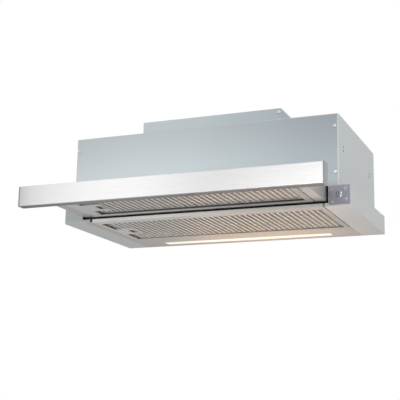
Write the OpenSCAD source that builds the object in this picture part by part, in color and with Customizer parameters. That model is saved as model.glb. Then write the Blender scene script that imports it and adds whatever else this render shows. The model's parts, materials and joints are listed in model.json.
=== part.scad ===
// Pull out range hood, 60 cm, drawn with its visor pulled out.
// Millimetres. X runs across the front, Y from the front strip to the back, Z up.
// The origin is on the underside, at the middle of the width and of the drawn depth.

/* [Housing] */
// Width of the lower frame and of the front strip
body_w = 598; // [580:1:620]
// Width of the ledge on each side that the cabinet's side panel stands on
ledge_w = 20.5; // [17:0.5:24]
// Width of the cheek on each side of the visor
cheek_w = 41; // [40.5:0.5:44]
// Depth of the fixed housing
body_d = 300; // [290:1:330]
// Height of the housing without the raised cover
body_h = 178; // [172:1:190]
// Height of the lower frame and of the front strip
base_h = 39; // [38:0.5:42]
// Thickness of the folded sheet
sheet = 1; // [0.8:0.1:1.2]
// Width of the flanges that the sheets are joined with
flange_w = 15; // [12:1:18]
// Outer radius of the folds at the housing's front corners
fold_r = 2; // [1.5:0.1:3]

/* [Raised cover] */
// Width of the raised cover over the blower
cover_w = 301; // [280:1:320]
// Depth of the raised cover
cover_d = 225; // [215:1:232]
// Clearance between the raised cover and the top of the blower's scroll
cover_room = 6; // [4:0.5:12]
// Distance from the back of the housing to the back of the raised cover
cover_back = 26; // [22:1:34]

/* [Air outlet] */
// Outer diameter of the outlet collar
outlet_d = 120; // [118:1:125]
// Height of the outlet collar above the raised cover
outlet_h = 28; // [26:1:40]
// Distance from the back of the housing to the axis of the outlet
outlet_back = 94; // [92:1:97]
// Wall of the outlet collar
collar_wall = 1.5; // [1.2:0.1:2]
// Thickness of a non-return flap
flap_t = 1.5; // [1.2:0.1:2]
// Diameter of a flap's pivot shaft
flap_shaft_d = 3; // [2.5:0.1:3.2]

/* [Visor] */
// How far the visor pulls out
travel = 155; // [140:1:165]
// Depth of the hollow front strip
strip_d = 20; // [18:0.5:24]
// Wall of the front strip
strip_wall = 1.2; // [1:0.1:1.6]
// Thickness of a strip end cap
cap_t = 3; // [2:0.5:4]
// Gap between the visor and a cheek
cheek_gap = 5; // [4:0.5:7]
// How much shorter the visor is than the housing is deep
visor_short = 30; // [25:1:38]
// Height of the visor's underside
visor_z = 11.3; // [10.9:0.1:11.5]

/* [Filters] */
// Thickness of the upper cassette
upper_t = 8.7; // [8:0.1:9.5]
// Thickness of the lower cassette
lower_t = 6.4; // [6.2:0.1:7]
// Sheet of the cassette frames
filter_sheet = 0.8; // [0.6:0.1:0.9]
// Width of the visor's margin on each side of the upper cassette
upper_margin = 20; // [18:1:23]
// Depth of the upper cassette
upper_d = 150; // [148:1:152]
// Depth of the underside's margin behind the lower cassette
lower_margin = 99; // [92:1:105]
// How far the upper mesh lies above its rims
upper_recess = 2.2; // [1:0.1:2.6]
// How far the lower mesh lies above its rims
lower_recess = 1.2; // [0.6:0.1:1.6]
// Openings across the expanded mesh
mesh_columns = 36; // [30:1:37]
// Width of the metal between two openings of the mesh
mesh_strand = 3.2; // [2.4:0.1:4]

/* [Slides] */
// Height of an outer slide rail
rail_h = 24; // [22:1:24]
// Diameter of a slide's balls
ball_d = 3.4; // [3:0.1:3.4]
// Balls in each row of a slide
row_balls = 6; // [4:1:7]
// Sheet of the slide rails
rail_sheet = 1.2; // [1:0.1:1.3]

/* [Blower] */
// Outer diameter of the impeller
impeller_d = 124; // [118:1:128]
// Width of the impeller
impeller_w = 96; // [90:1:98]
// Number of impeller blades
blades = 36; // [30:1:40]
// Wall of the scroll housing
scroll_wall = 2; // [1.5:0.1:2.5]
// Diameter of the motor
motor_d = 76; // [70:1:80]
// Length of the motor
motor_l = 66; // [60:1:72]
// Diameter of the motor shaft
shaft_d = 8; // [6:0.5:9]

/* [Light and controls] */
// Distance from the frame's sides to the light window
led_inset = 107.5; // [100:0.5:130]
// Depth of the light window
led_d = 28; // [24:1:30]
// Width of the touch panel
touch_w = 39.8; // [36:0.1:40]
// Height of the touch panel
touch_h = 36; // [34:0.5:36]
// Thickness of the touch panel's glass
touch_t = 3; // [2.5:0.1:4]

/* [Hidden] */
// Clearances and small overruns that are shared
seam = 0.5;
fit = 0.3;
slip = 0.2;
run_gap = 0.05;
over = 1;

// Places along Y
park_gap = 1;
overall_d = strip_d + travel + park_gap + body_d;
y_strip = -overall_d / 2;
y_visor = y_strip + strip_d;
y_body = overall_d / 2 - body_d;
y_back = overall_d / 2;

// Half widths and heights of the housing
half_w = body_w / 2;
half_box = half_w - ledge_w;
box_in = half_box - sheet;

// Front cheeks on both sides of the visor, and the ledges behind them
cheek_x = half_w - cheek_w;
foot_inset = 17.5;
foot_left = cheek_x - foot_inset;
foot_gap = 4;
seam_inset = 8.25;
seam_x = cheek_x - seam_inset;
rail_w = 11;
channel_x = cheek_x + rail_w;
channel_back = 2;
ledge_inset = 6;
ledge_in = cheek_x + ledge_inset;
seat_front = 13;
seat_back = 24;

// Screw heads, rivets and the holes that fix the hood in its cabinet
screw_d = 7;
screw_h = 1.4;
front_screw_x = 6.5;
front_screw_low = 65;
front_screw_high = 154;
cover_screw_x = 3.5;
cover_screw_z = 31;
ledge_screw_x = 5.5;
ledge_screw_y = 6;
rivet_d = 4;
rivet_h = 0.8;
fix_hole_d = 5;
fix_front = 38;
fix_back = 44;
fix_pitch_y = body_d - fix_front - fix_back;
fix_pitch_z = 8;
fix_z = 118;

// Blower: the axis, the scroll's spiral, the inlets, the blades and the motor
axis_drop = 40;
axis_z = body_h - axis_drop;
tongue_gap = 8;
scroll_r0 = impeller_d / 2 + tongue_gap;
scroll_grow = 37;
side_gap = 5;
scroll_half = impeller_w / 2 + side_gap;
spiral_step = 6;
neck_lip = 6;
neck_gap = 4;
scroll_back = scroll_r0 + scroll_grow + scroll_wall;
axis_y = y_back - cover_back - sheet - neck_gap - neck_lip - scroll_back;
inlet_step = 12;
inlet_r = impeller_d / 2 - inlet_step;
blade_t = 1.2;
blade_depth = 11;
blade_bow = 7;
ring_w = 2;
hub_d = 24;
disc_t = 3;
bracket_t = 2;
bracket_w = 12;
bracket_arm = 14;
motor_x = 6;
shaft_l = 40;
bell_w = 5;
bell_h = 4;

// Raised cover, as high as the blower needs
half_cover = cover_w / 2;
top_z = axis_z + scroll_r0 + scroll_wall + cover_room + sheet;
cover_y1 = y_back - cover_back;
cover_y0 = cover_y1 - cover_d;
cover_lip = 10;

// Outlet collar and flaps
outlet_y = y_back - outlet_back;
outlet_r = outlet_d / 2;
collar_flange_w = 66;
collar_flange_t = 1.5;
collar_screw = 56;
collar_bar_w = 4;
collar_bar_h = 5;
stop_w = 2.5;
stop_h = 2;
flap_rise = 8;
flap_z = top_z + flap_rise;
flap_gap = 1;
flap_offset = 4.5;

// Visor
visor_half = cheek_x - cheek_gap;
visor_drop = 2;
visor_top_z = base_h - visor_drop;
visor_back = y_visor + body_d - visor_short;
visor_floor_back = 12;
strip_round = 1.6;
cap_plug = 8;

// Filter cassettes: the rims round the mesh, left, right, front and back
upper_rims = [25, 15, 14, 18];
lower_rims = [7, 11.5, 23, 3];
upper_y = 10;
upper_w = 2 * (visor_half - upper_margin);
arm_x = -(foot_left - foot_gap) - seam / 2;
arm_gap = 1;
lower_w = seam_x - arm_x - arm_gap;
lower_d = body_d - lower_margin;
hook_w = 26;
hook_l = 3.6;
hook_t = 1.5;
hook_inset = 45;
inner_flange = 8;
mesh_t = 0.8;
mesh_row_share = 0.6;

// Filter latches
latch_travel = 4;
latch_grip = 4.5;
latch_wall = 0.8;
case_w = 53;
case_inset = 40;
slot_w = 8;
slot_d = 24;
slider_d = 39;
tongue_w = 20;
tongue_t = 2;
spring_arm = 1.2;
spring_reach = 6;
lower_latch_back = 88.5;
lower_latch_y = lower_d - lower_latch_back;
upper_latch_shift = 2;
upper_latch_y = upper_d / 2 - upper_latch_shift;

// Slides
rail_z = 24;
rail_lip = 3;
rail_front = 20;
rail_back = 6;
rail_stop = 2;
rail_l = visor_back - y_body - rail_front - rail_stop;
cage_l = 60;
cage_lead = 54;
cage_t = 0.6;
boss_d = 10;
boss_inset = 14;
ball_pitch = 9;

// Light
led_w = body_w - 2 * led_inset;
led_x = 1.5;
led_back = 20;
led_lip = 3;
led_wall = 1;
led_h = 10;
board_t = 1.6;
led_board_d = 10;

// Touch panel, display and electronics
touch_proud = 0.4;
touch_z = 3;
touch_case_d = 9;
touch_wall = 1.2;
display_w = 20;
display_h = 14;
display_d = 4;
control_w = 60;
control_d = 110;
control_h = 80;
control_front = 42;
control_y = y_body + control_front;
control_z = 70;
control_wall = 2;
board_gap = 6;
capacitor_d = 30;
capacitor_l = 58;
sensor = [24, 14, 10];
magnet = [4, 10, 8];
sensor_inset = 17;
sensor_x = visor_half - sensor_inset;
sensor_z = 20;
gland_d = 20;
gland_bore = 8.4;
gland_hex = 24;
gland_h = 14;
gland_nut = 4;
gland_inset = 30;
gland_x = gland_inset - box_in;
gland_y = 40;

steel = [0.74, 0.76, 0.77];
bright_steel = [0.93, 0.92, 0.9];
aluminium = [0.72, 0.7, 0.67];
grey_plastic = [0.6, 0.61, 0.6];
dark_plastic = [0.25, 0.26, 0.28];
glass_grey = [0.38, 0.39, 0.42];
light_white = [1, 0.98, 0.9];

// A box between two corners
module block(a, b) {
    translate(a) cube(b - a);
}

// The same shape on both sides of the middle plane
module both_sides() {
    children();
    mirror([1, 0, 0]) children();
}

// An outline drawn in Y and Z, run along X
module along_x(x, length) {
    translate([x, 0, 0]) rotate([90, 0, 90]) linear_extrude(length) children();
}

// An outline drawn in X and Z, run along Y
module along_y(y, length) {
    translate([0, y + length, 0]) rotate([90, 0, 0]) linear_extrude(length) children();
}

// An outline drawn in X and Y, run along Z
module along_z(z, length) {
    translate([0, 0, z]) linear_extrude(length) children();
}

// A rod along X, Y or Z from a point
module rod_x(p, d, length) {
    translate(p) rotate([0, 90, 0]) cylinder(d = d, h = length, $fn = 48);
}

module rod_y(p, d, length) {
    translate(p) rotate([-90, 0, 0]) cylinder(d = d, h = length, $fn = 48);
}

module rod_z(p, d, length) {
    translate(p) cylinder(d = d, h = length, $fn = 48);
}

// A rectangle with round corners, as flat and true arcs
module round_rect(w, h, r) {
    translate([r, 0]) square([w - 2 * r, h]);
    translate([0, r]) square([w, h - 2 * r]);
    for (x = [r, w - r], y = [r, h - r]) translate([x, y]) circle(r, $fn = 32);
}

// A low screw head with a cross recess, standing on Z = 0
module screw_head() {
    slot_l = screw_d / 2;
    slot_t = screw_d / 8;
    difference() {
        union() {
            cylinder(d = screw_d, h = screw_h / 2, $fn = 32);
            translate([0, 0, screw_h / 2])
                cylinder(d1 = screw_d, d2 = screw_d * 0.7, h = screw_h / 2, $fn = 32);
        }
        for (a = [0, 90]) rotate(a)
            translate([-slot_l / 2, -slot_t / 2, screw_h / 2]) cube([slot_l, slot_t, screw_h]);
    }
}

// Lower frame: cheeks, ledges, side walls, rail channels and the sides of the underside.
// The seat for the cabinet's side panel is one sheet lower than the ledge round it.
module base_side(foot_x) {
    seat_z = base_h - sheet;
    seat_y0 = y_body + seat_front;
    seat_y1 = y_back - seat_back;
    block([half_w - sheet, y_body, 0], [half_w, y_back, seat_z]);
    block([ledge_in, y_body, seat_z], [half_box + seam, y_back, base_h]);
    block([ledge_in, y_body, seat_z], [half_w, seat_y0, base_h]);
    block([ledge_in, seat_y1, seat_z], [half_w, y_back, base_h]);
    block([box_in, seat_y0 - sheet, seat_z - sheet], [half_w, seat_y1 + sheet, seat_z]);
    block([seam_x + seam, y_body, 0], [half_w, y_back, sheet]);
    block([cheek_x, y_body, 0], [half_w, y_body + sheet, base_h]);
    block([foot_x, y_body, 0], [cheek_x + sheet, y_body + sheet, lower_t]);
    channel_y = y_body + rail_front - channel_back;
    block([channel_x, channel_y, 0], [channel_x + sheet, y_back, base_h]);
}

module base_frame() {
    color(steel) difference() {
        union() {
            base_side(seam_x + seam);
            mirror([1, 0, 0]) base_side(foot_left);
            block([-half_w, y_back - sheet, 0], [half_w, y_back, base_h]);
            back_y = y_back - flange_w;
            block([-half_w, back_y, base_h - sheet], [half_w, y_back, base_h]);
        }
        touch_x = half_w - touch_w - fit;
        touch_back = y_body + touch_t - touch_proud + fit;
        block([touch_x, y_body - over, touch_z - fit], [half_w + over, touch_back, base_h + over]);
    }
}

// Upper housing
module front_panel() {
    top = body_h - sheet;
    color(steel) {
        plate_x = half_box - fold_r;
        block([-plate_x, y_body, base_h], [plate_x, y_body + sheet, top]);
        flange_y = y_body + flange_w;
        block([-box_in + flange_w, y_body, top - sheet], [box_in - flange_w, flange_y, top]);
        block([-visor_half, y_body, base_h], [visor_half, flange_y, base_h + sheet]);
    }
}

// The hole pattern that fixes the hood between the cabinet's sides
module fix_holes(d) {
    for (y = [0, fix_pitch_y], z = [-fix_pitch_z / 2, fix_pitch_z / 2])
        rod_x([box_in - over, y_body + fix_front + y, fix_z + z], d, sheet + 2 * over);
}

// What the round of a fold takes off the housing's front right corner, seen from above
module fold_waste() {
    translate([half_box - fold_r, y_body]) difference() {
        translate([0, -over]) square([fold_r + over, fold_r + over]);
        translate([0, fold_r]) circle(fold_r, $fn = 48);
    }
}

module side_panel() {
    top = body_h - sheet;
    y0 = y_body + sheet;
    difference() {
        union() {
            block([box_in, y_body, base_h], [half_box, y_back - sheet, top]);
            block([half_box - fold_r, y_body, base_h], [half_box, y0 + sheet, top]);
            block([box_in - flange_w, y0, base_h], [half_box, y0 + sheet, top]);
            block([box_in - flange_w, y0, base_h], [half_box, y_back - sheet, base_h + sheet]);
        }
        along_z(base_h - over, body_h) fold_waste();
        fix_holes(fix_hole_d);
    }
}

module side_panel_left() {
    color(steel) mirror([1, 0, 0]) side_panel();
}

module side_panel_right() {
    color(steel) side_panel();
}

module rear_panel() {
    top = body_h - sheet;
    color(steel) {
        block([-half_box, y_back - sheet, base_h], [half_box, y_back, top]);
        y0 = y_back - sheet - flange_w;
        block([-box_in + flange_w, y0, top - sheet], [box_in - flange_w, y_back, top]);
    }
}

module top_panel() {
    inset = cover_lip / 2;
    color(steel) difference() {
        block([-half_box, y_body, body_h - sheet], [half_box, y_back, body_h]);
        block([-half_cover + inset, cover_y0 + inset, body_h - sheet - over],
              [half_cover - inset, cover_y1 - inset, body_h + over]);
        both_sides() along_z(body_h - sheet - over, sheet + 2 * over) fold_waste();
        rod_z([gland_x, y_back - gland_y, body_h - sheet - over], gland_d, sheet + 2 * over);
    }
}

// Raised cover over the blower, open below, with lips that lie on the top panel
module raised_cover() {
    z0 = body_h + sheet;
    color(steel) difference() {
        union() {
            block([-half_cover, cover_y0, body_h], [half_cover, cover_y1, top_z]);
            block([-half_cover - cover_lip, cover_y0 - cover_lip, body_h],
                  [half_cover + cover_lip, cover_y1 + cover_lip, z0]);
        }
        block([-half_cover + sheet, cover_y0 + sheet, body_h - over],
              [half_cover - sheet, cover_y1 - sheet, top_z - sheet]);
        rod_z([0, outlet_y, top_z - sheet - over], 2 * (outlet_r - collar_wall), sheet + 2 * over);
    }
}

// Underside plate: the back margin with the light window and the arm beside the cassette
module bottom_pan() {
    margin_y = y_body + lower_d + seam;
    color(steel) difference() {
        union() {
            block([-seam_x, margin_y, 0], [seam_x, y_back - sheet, sheet]);
            block([-seam_x, y_body + sheet, 0], [arm_x, margin_y, sheet]);
            block([-seam_x, y_back - 2 * sheet, 0], [seam_x, y_back - sheet, flange_w]);
        }
        translate([0, 0, -over]) linear_extrude(sheet + 2 * over) led_outline(slip);
    }
}

// Outlet collar with the bar and the pivot holes of the two flaps
module outlet_collar() {
    inner_d = outlet_d - 2 * collar_wall;
    color(dark_plastic) difference() {
        union() {
            rod_z([0, outlet_y, top_z], outlet_d, outlet_h);
            along_z(top_z, collar_flange_t)
                translate([-collar_flange_w, outlet_y - collar_flange_w])
                    round_rect(2 * collar_flange_w, 2 * collar_flange_w, outlet_r / 4);
        }
        difference() {
            rod_z([0, outlet_y, top_z - over], inner_d, outlet_h + 2 * over);
            block([-outlet_r, outlet_y - collar_bar_w / 2, top_z],
                  [outlet_r, outlet_y + collar_bar_w / 2, top_z + collar_bar_h]);
            flap_stop(inner_d);
        }
        for (y = [-flap_offset, flap_offset])
            rod_x([-outlet_r, outlet_y + y, flap_z], flap_shaft_d + 2 * run_gap, outlet_d);
    }
}

// Ledge that a closed flap rests on, left out round the pivots
module flap_stop(d) {
    z = flap_z - flap_t / 2 - fit - stop_h;
    clear_y = flap_offset + flap_shaft_d;
    difference() {
        rod_z([0, outlet_y, z], d, stop_h);
        rod_z([0, outlet_y, z - over], d - 2 * stop_w, stop_h + 2 * over);
        block([-outlet_r, outlet_y - clear_y, z - over], [outlet_r, outlet_y + clear_y, z + stop_h + over]);
    }
}

// One half disc with its pivot shaft, on the side of the bar that side gives
module flap(side) {
    shaft_end = sqrt(outlet_r * outlet_r - flap_offset * flap_offset) - collar_wall / 2;
    flap_r = outlet_r - collar_wall - flap_gap;
    color(grey_plastic) translate([0, outlet_y, flap_z]) {
        rod_x([-shaft_end, side * flap_offset, 0], flap_shaft_d, 2 * shaft_end);
        translate([0, 0, -flap_t / 2]) intersection() {
            cylinder(r = flap_r, h = flap_t, $fn = 96);
            low = side > 0 ? flap_offset : -outlet_r;
            translate([-outlet_r, low, 0]) cube([outlet_d, outlet_r - flap_offset, flap_t]);
        }
    }
}

module flap_front() {
    flap(-1);
}

module flap_rear() {
    flap(1);
}

// Scroll outline in Y and Z: a spiral that opens from the tongue on top, over the front and
// the bottom to the back, and runs straight up into the outlet
module scroll_outline(grow) {
    spiral = [for (a = [0 : spiral_step : 270])
        let (r = scroll_r0 + grow + scroll_grow * a / 270)
        [axis_y - (a == 0 ? grow : r * sin(a)), axis_z + r * cos(a)]];
    back_y = axis_y + scroll_r0 + scroll_grow + grow;
    neck_z = top_z - sheet;
    polygon(concat(spiral, [[back_y, neck_z], [axis_y - grow, neck_z]]));
}

// One half of the scroll, from the middle plane to its inlet
module scroll_half() {
    side_x = scroll_half + scroll_wall;
    lip_z = top_z - sheet - scroll_wall;
    lip_y = axis_y + scroll_back + neck_lip;
    difference() {
        union() {
            along_x(0, side_x) scroll_outline(scroll_wall);
            block([0, axis_y - scroll_wall - neck_lip, lip_z], [side_x + neck_lip, lip_y, top_z - sheet]);
            rod_x([side_x, axis_y, axis_z], 2 * (inlet_r + bell_w), bell_h);
        }
        along_x(-over, scroll_half + over) scroll_outline(0);
        block([-over, axis_y, lip_z - over], [scroll_half, axis_y + scroll_r0 + scroll_grow, top_z]);
        rod_x([0, axis_y, axis_z], 2 * inlet_r, side_x + bell_h + over);
        translate([side_x + bell_h, axis_y, axis_z]) rotate([0, 90, 0]) bell_round();
    }
}

// The material taken off round an inlet's lip to leave its mouth rounded, below Z = 0
module bell_round() {
    rotate_extrude($fn = 96) translate([inlet_r - over, -bell_w]) difference() {
        square([bell_w + over, bell_w + over]);
        translate([bell_w + over, 0]) circle(bell_w, $fn = 48);
    }
}

module scroll_left() {
    color(dark_plastic) mirror([1, 0, 0]) scroll_half();
}

module scroll_right() {
    color(dark_plastic) scroll_half();
}

// One forward curved blade, drawn in the plane across the axis
module blade() {
    outer_r = impeller_d / 2 - blade_t;
    bow_r = blade_bow + blade_t;
    translate([outer_r - blade_depth / 2, 0]) intersection() {
        difference() {
            circle(bow_r, $fn = 48);
            circle(blade_bow, $fn = 48);
        }
        translate([-blade_depth / 2, 0]) square([blade_depth, bow_r]);
    }
}

module ring(x, t) {
    r = impeller_d / 2;
    translate([x, 0, 0]) rotate([0, 90, 0]) difference() {
        cylinder(r = r, h = t, $fn = 96);
        translate([0, 0, -over]) cylinder(r = r - blade_depth, h = t + 2 * over, $fn = 96);
    }
}

module impeller() {
    color(grey_plastic) translate([0, axis_y, axis_z]) {
        along_x(-impeller_w / 2, impeller_w)
            for (k = [0 : blades - 1]) rotate(360 * k / blades) blade();
        ring(-impeller_w / 2, ring_w);
        ring(impeller_w / 2 - ring_w, ring_w);
        difference() {
            union() {
                rod_x([-disc_t / 2, 0, 0], impeller_d, disc_t);
                rod_x([-motor_x * 2, 0, 0], hub_d, motor_x * 2 + disc_t);
            }
            rod_x([-motor_x * 3, 0, 0], shaft_d, motor_x * 5);
        }
    }
}

module motor_shaft() {
    color(bright_steel) rod_x([-motor_x * 2, axis_y, axis_z], shaft_d, motor_x * 2 + shaft_l);
}

module motor() {
    boss_d = shaft_d * 2;
    color(steel) difference() {
        union() {
            rod_x([motor_x + disc_t, axis_y, axis_z], motor_d, motor_l);
            rod_x([motor_x, axis_y, axis_z], boss_d, motor_l + 2 * disc_t);
        }
        rod_x([motor_x - over, axis_y, axis_z], shaft_d + 2 * run_gap, shaft_l + over);
    }
}

// Ring with three arms and three feet that carries the motor in the right inlet
module motor_bracket() {
    x = scroll_half + scroll_wall + bell_h;
    ring_r = inlet_r + bell_w;
    arms = [60, 180, 300];
    color(steel) translate([x, axis_y, axis_z]) rotate([0, 90, 0]) {
        linear_extrude(bracket_t) difference() {
            union() {
                difference() {
                    circle(ring_r + bracket_w, $fn = 96);
                    circle(ring_r, $fn = 96);
                }
                for (a = arms) rotate(a)
                    translate([0, -bracket_arm / 2]) square([ring_r + over, bracket_arm]);
                circle(d = motor_d + bracket_w, $fn = 96);
            }
            circle(d = motor_d, $fn = 96);
        }
        for (a = arms) rotate(a)
            translate([ring_r + bracket_w / 2, 0, -bell_h])
                cylinder(d = bracket_w / 2, h = bell_h + bracket_t / 2, $fn = 32);
    }
}

// Electronics, on the right side panel
module control_box() {
    x0 = box_in - control_w;
    w = control_wall;
    y1 = control_y + control_d;
    z1 = control_z + control_h;
    color(dark_plastic) difference() {
        block([x0 + w, control_y, control_z], [box_in, y1, z1]);
        block([x0, control_y + w, control_z + w], [box_in - w, y1 - w, z1 - w]);
    }
}

module control_lid() {
    x0 = box_in - control_w;
    y1 = control_y + control_d;
    color(dark_plastic)
        block([x0, control_y, control_z], [x0 + control_wall, y1, control_z + control_h]);
}

module control_board() {
    w = control_wall;
    x1 = box_in - w - board_gap;
    y1 = control_y + control_d - w;
    z1 = control_z + control_h - w;
    color("darkgreen") {
        block([x1 - board_t, control_y + w, control_z + w], [x1, y1, z1]);
        for (y = [control_y + 3 * w, y1 - 3 * w], z = [control_z + 3 * w, z1 - 3 * w])
            rod_x([x1, y, z], board_gap, board_gap);
    }
}

module capacitor() {
    x = box_in - control_wall - board_gap - board_t - capacitor_d / 2;
    y = control_y + (control_d - capacitor_l) / 2;
    color(bright_steel)
        rod_y([x, y, control_z + control_h / 2], capacitor_d, capacitor_l);
}

// Gland for the supply cable in the top panel
module cable_gland() {
    y = y_back - gland_y;
    color(dark_plastic) difference() {
        union() {
            translate([gland_x, y, body_h]) cylinder(d = gland_hex, h = gland_nut, $fn = 6);
            rod_z([gland_x, y, body_h - sheet - gland_nut], gland_d, sheet + gland_nut);
            rod_z([gland_x, y, body_h], gland_d, gland_h);
            rod_z([gland_x, y, body_h - sheet - gland_nut], gland_d + gland_nut, gland_nut);
        }
        rod_z([gland_x, y, body_h - gland_d], gland_bore, 2 * gland_d + gland_h);
    }
}

// Light in the back margin
module led_outline(grow) {
    y1 = y_back - led_back + grow;
    x0 = led_x - led_w / 2 - grow;
    translate([x0, y1 - led_d - 2 * grow]) square([led_w + 2 * grow, led_d + 2 * grow]);
}

module led_diffuser() {
    color(light_white) {
        along_z(0, sheet + led_wall) led_outline(0);
        along_z(sheet, led_wall) led_outline(led_lip);
    }
}

module led_housing() {
    color(grey_plastic) difference() {
        along_z(sheet, led_h - sheet) led_outline(led_lip + slip + led_wall);
        along_z(sheet - over, led_wall + over) led_outline(led_lip + slip);
        along_z(sheet - over, led_h - sheet - led_wall + over) led_outline(0);
    }
}

module led_board() {
    z1 = led_h - led_wall;
    x0 = led_x - led_w / 2 + led_wall;
    y0 = y_back - led_back - led_d / 2 - led_board_d / 2;
    color("white")
        block([x0, y0, z1 - board_t], [x0 + led_w - 2 * led_wall, y0 + led_board_d, z1]);
}

// Touch panel in the right cheek
touch_x0 = half_w - touch_w;
touch_y0 = y_body - touch_proud;
touch_y1 = touch_y0 + touch_t;

module touch_glass() {
    color(glass_grey)
        block([touch_x0, touch_y0, touch_z], [half_w, touch_y1, touch_z + touch_h]);
}

module touch_case() {
    x1 = half_w - sheet;
    z1 = base_h - sheet;
    w = touch_wall;
    color(dark_plastic) difference() {
        block([touch_x0, touch_y1 + fit, touch_z], [x1, touch_y1 + touch_case_d, z1]);
        block([touch_x0 + w, touch_y1, touch_z + w], [x1 - w, touch_y1 + touch_case_d - w, z1 - w]);
    }
}

module touch_board() {
    w = touch_wall + slip;
    y0 = touch_y1 + display_d;
    z1 = base_h - sheet - w;
    color("darkgreen") block([touch_x0 + w, y0, touch_z + w], [half_w - sheet - w, y0 + board_t, z1]);
}

module display() {
    x0 = half_w - touch_w / 2 - display_w / 2;
    z0 = touch_z + touch_h / 2 - display_h / 2;
    color("black")
        block([x0, touch_y1, z0], [x0 + display_w, touch_y1 + display_d, z0 + display_h]);
}

// Front strip: a hollow profile closed by two end caps
module strip_outline(inset) {
    translate([y_strip + inset, inset])
        round_rect(strip_d - 2 * inset, base_h - 2 * inset, strip_round - inset);
}

module front_strip() {
    length = body_w - 2 * cap_t;
    color(bright_steel) along_x(-length / 2, length) difference() {
        strip_outline(0);
        strip_outline(strip_wall);
    }
}

module strip_cap() {
    x0 = half_w - cap_t;
    color(grey_plastic) {
        along_x(x0, cap_t) strip_outline(0);
        along_x(x0 - cap_plug, cap_plug) strip_outline(strip_wall + slip);
    }
}

module strip_cap_left() {
    mirror([1, 0, 0]) strip_cap();
}

module strip_cap_right() {
    strip_cap();
}

// Visor tray behind the strip: walls, floor with the cassette's opening, and side arms
upper_x0 = -upper_w / 2;
upper_y0 = y_visor + upper_y;

module visor_frame() {
    floor_y = upper_y0 + upper_d + visor_floor_back;
    floor_z = visor_z + sheet;
    arm_in = upper_w / 2 + seam;
    color(steel) difference() {
        union() {
            block([-visor_half, y_visor, visor_z], [visor_half, floor_y, floor_z]);
            block([-visor_half, y_visor, visor_z], [visor_half, y_visor + sheet, visor_top_z]);
            both_sides() {
                block([visor_half - sheet, y_visor, visor_z], [visor_half, visor_back, visor_top_z]);
                block([arm_in, y_visor, visor_z], [visor_half, visor_back, floor_z]);
            }
        }
        block([-arm_in, upper_y0 - seam, visor_z - over],
              [arm_in, upper_y0 + upper_d + seam, floor_z + over]);
    }
}

module visor_top() {
    color(steel) difference() {
        block([-visor_half, y_visor, visor_top_z], [visor_half, visor_back, visor_top_z + sheet]);
        mouth = flange_w;
        back = visor_back - mouth;
        block([-visor_half + mouth * 2, back, visor_top_z - over],
              [visor_half - mouth * 2, visor_back + over, visor_top_z + sheet + over]);
    }
}

// A cassette's frame: a hollow edge profile with rims round the mesh, a hem that carries the
// mesh, and two hooks on the right. p is the cassette's lower left front corner, size its
// width, depth and thickness, rims the four rims and recess the height of the hem.
module cassette_frame(p, size, rims, recess, latch_y) {
    s = filter_sheet;
    w = size[0];
    d = size[1];
    t = size[2];
    f = inner_flange;
    translate(p) difference() {
        union() {
            difference() {
                cube(size);
                translate([s, s, s]) cube([w - 2 * s, d - 2 * s, t - 2 * s]);
                translate([f, f, s]) cube([w - 2 * f, d - 2 * f, t]);
            }
            translate([rims[0] - s, rims[2] - s, 0])
                cube([w - rims[0] - rims[1] + 2 * s, d - rims[2] - rims[3] + 2 * s, s + recess]);
            for (y = [hook_inset, d - hook_inset - hook_w])
                translate([w - s, y, sheet + fit]) cube([hook_l + s, hook_w, hook_t]);
        }
        translate([rims[0], rims[2], -over])
            cube([w - rims[0] - rims[1], d - rims[2] - rims[3], t]);
        tongue_z = sheet + fit - slip;
        translate([-over, latch_y - tongue_w / 2 - slip, tongue_z])
            cube([s + 2 * over, tongue_w + 2 * slip, tongue_t + 2 * slip]);
        case_x1 = rims[0] + case_inset;
        translate([s, latch_y - case_w / 2 - slip, -over])
            cube([case_x1 - s + slip, case_w + 2 * slip, t - s + over]);
    }
}

// The corner notch that keeps a filter layer clear of the latch case
module latch_notch(rims, latch_y) {
    translate([0, latch_y - case_w / 2 - slip])
        square([rims[0] + case_inset + slip, case_w + 2 * slip]);
}

// Expanded mesh: staggered diamonds, their long way along Y
module cassette_mesh(p, size, rims, recess, latch_y) {
    s = filter_sheet;
    open_w = size[0] - rims[0] - rims[1];
    open_d = size[1] - rims[2] - rims[3];
    pitch = open_w / mesh_columns;
    rows = round(open_d / pitch * mesh_row_share);
    step = open_d / rows;
    reach = pitch * step / 2 / sqrt(pitch * pitch + step * step / 4);
    share = 1 - mesh_strand / 2 / reach;
    half_x = pitch * share;
    half_y = step / 2 * share;
    translate([p[0], p[1], p[2] + s + recess]) linear_extrude(mesh_t) difference() {
        inset = s + slip;
        translate([inset, inset]) square([size[0] - 2 * inset, size[1] - 2 * inset]);
        latch_notch(rims, latch_y);
        for (i = [1 : mesh_columns - 1], j = [0 : rows - 1]) {
            x = rims[0] + i * pitch;
            y = rims[2] + (j + (i % 2 == 0 ? 0 : 0.5)) * step;
            beside = x - half_x < rims[0] + case_inset + mesh_strand;
            in_case = beside && abs(y - latch_y) < case_w / 2 + half_y + mesh_strand;
            if (!in_case && y > rims[2])
                translate([x, y]) polygon([[-half_x, 0], [0, -half_y], [half_x, 0], [0, half_y]]);
        }
    }
}

// Layers of expanded foil behind the mesh, as one pad
module cassette_pad(p, size, rims, recess, latch_y) {
    s = filter_sheet;
    z0 = s + recess + mesh_t;
    translate([p[0], p[1], p[2] + z0]) linear_extrude(size[2] - s - z0) difference() {
        inset = s + slip;
        translate([inset, inset]) square([size[0] - 2 * inset, size[1] - 2 * inset]);
        latch_notch(rims, latch_y);
    }
}

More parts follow.
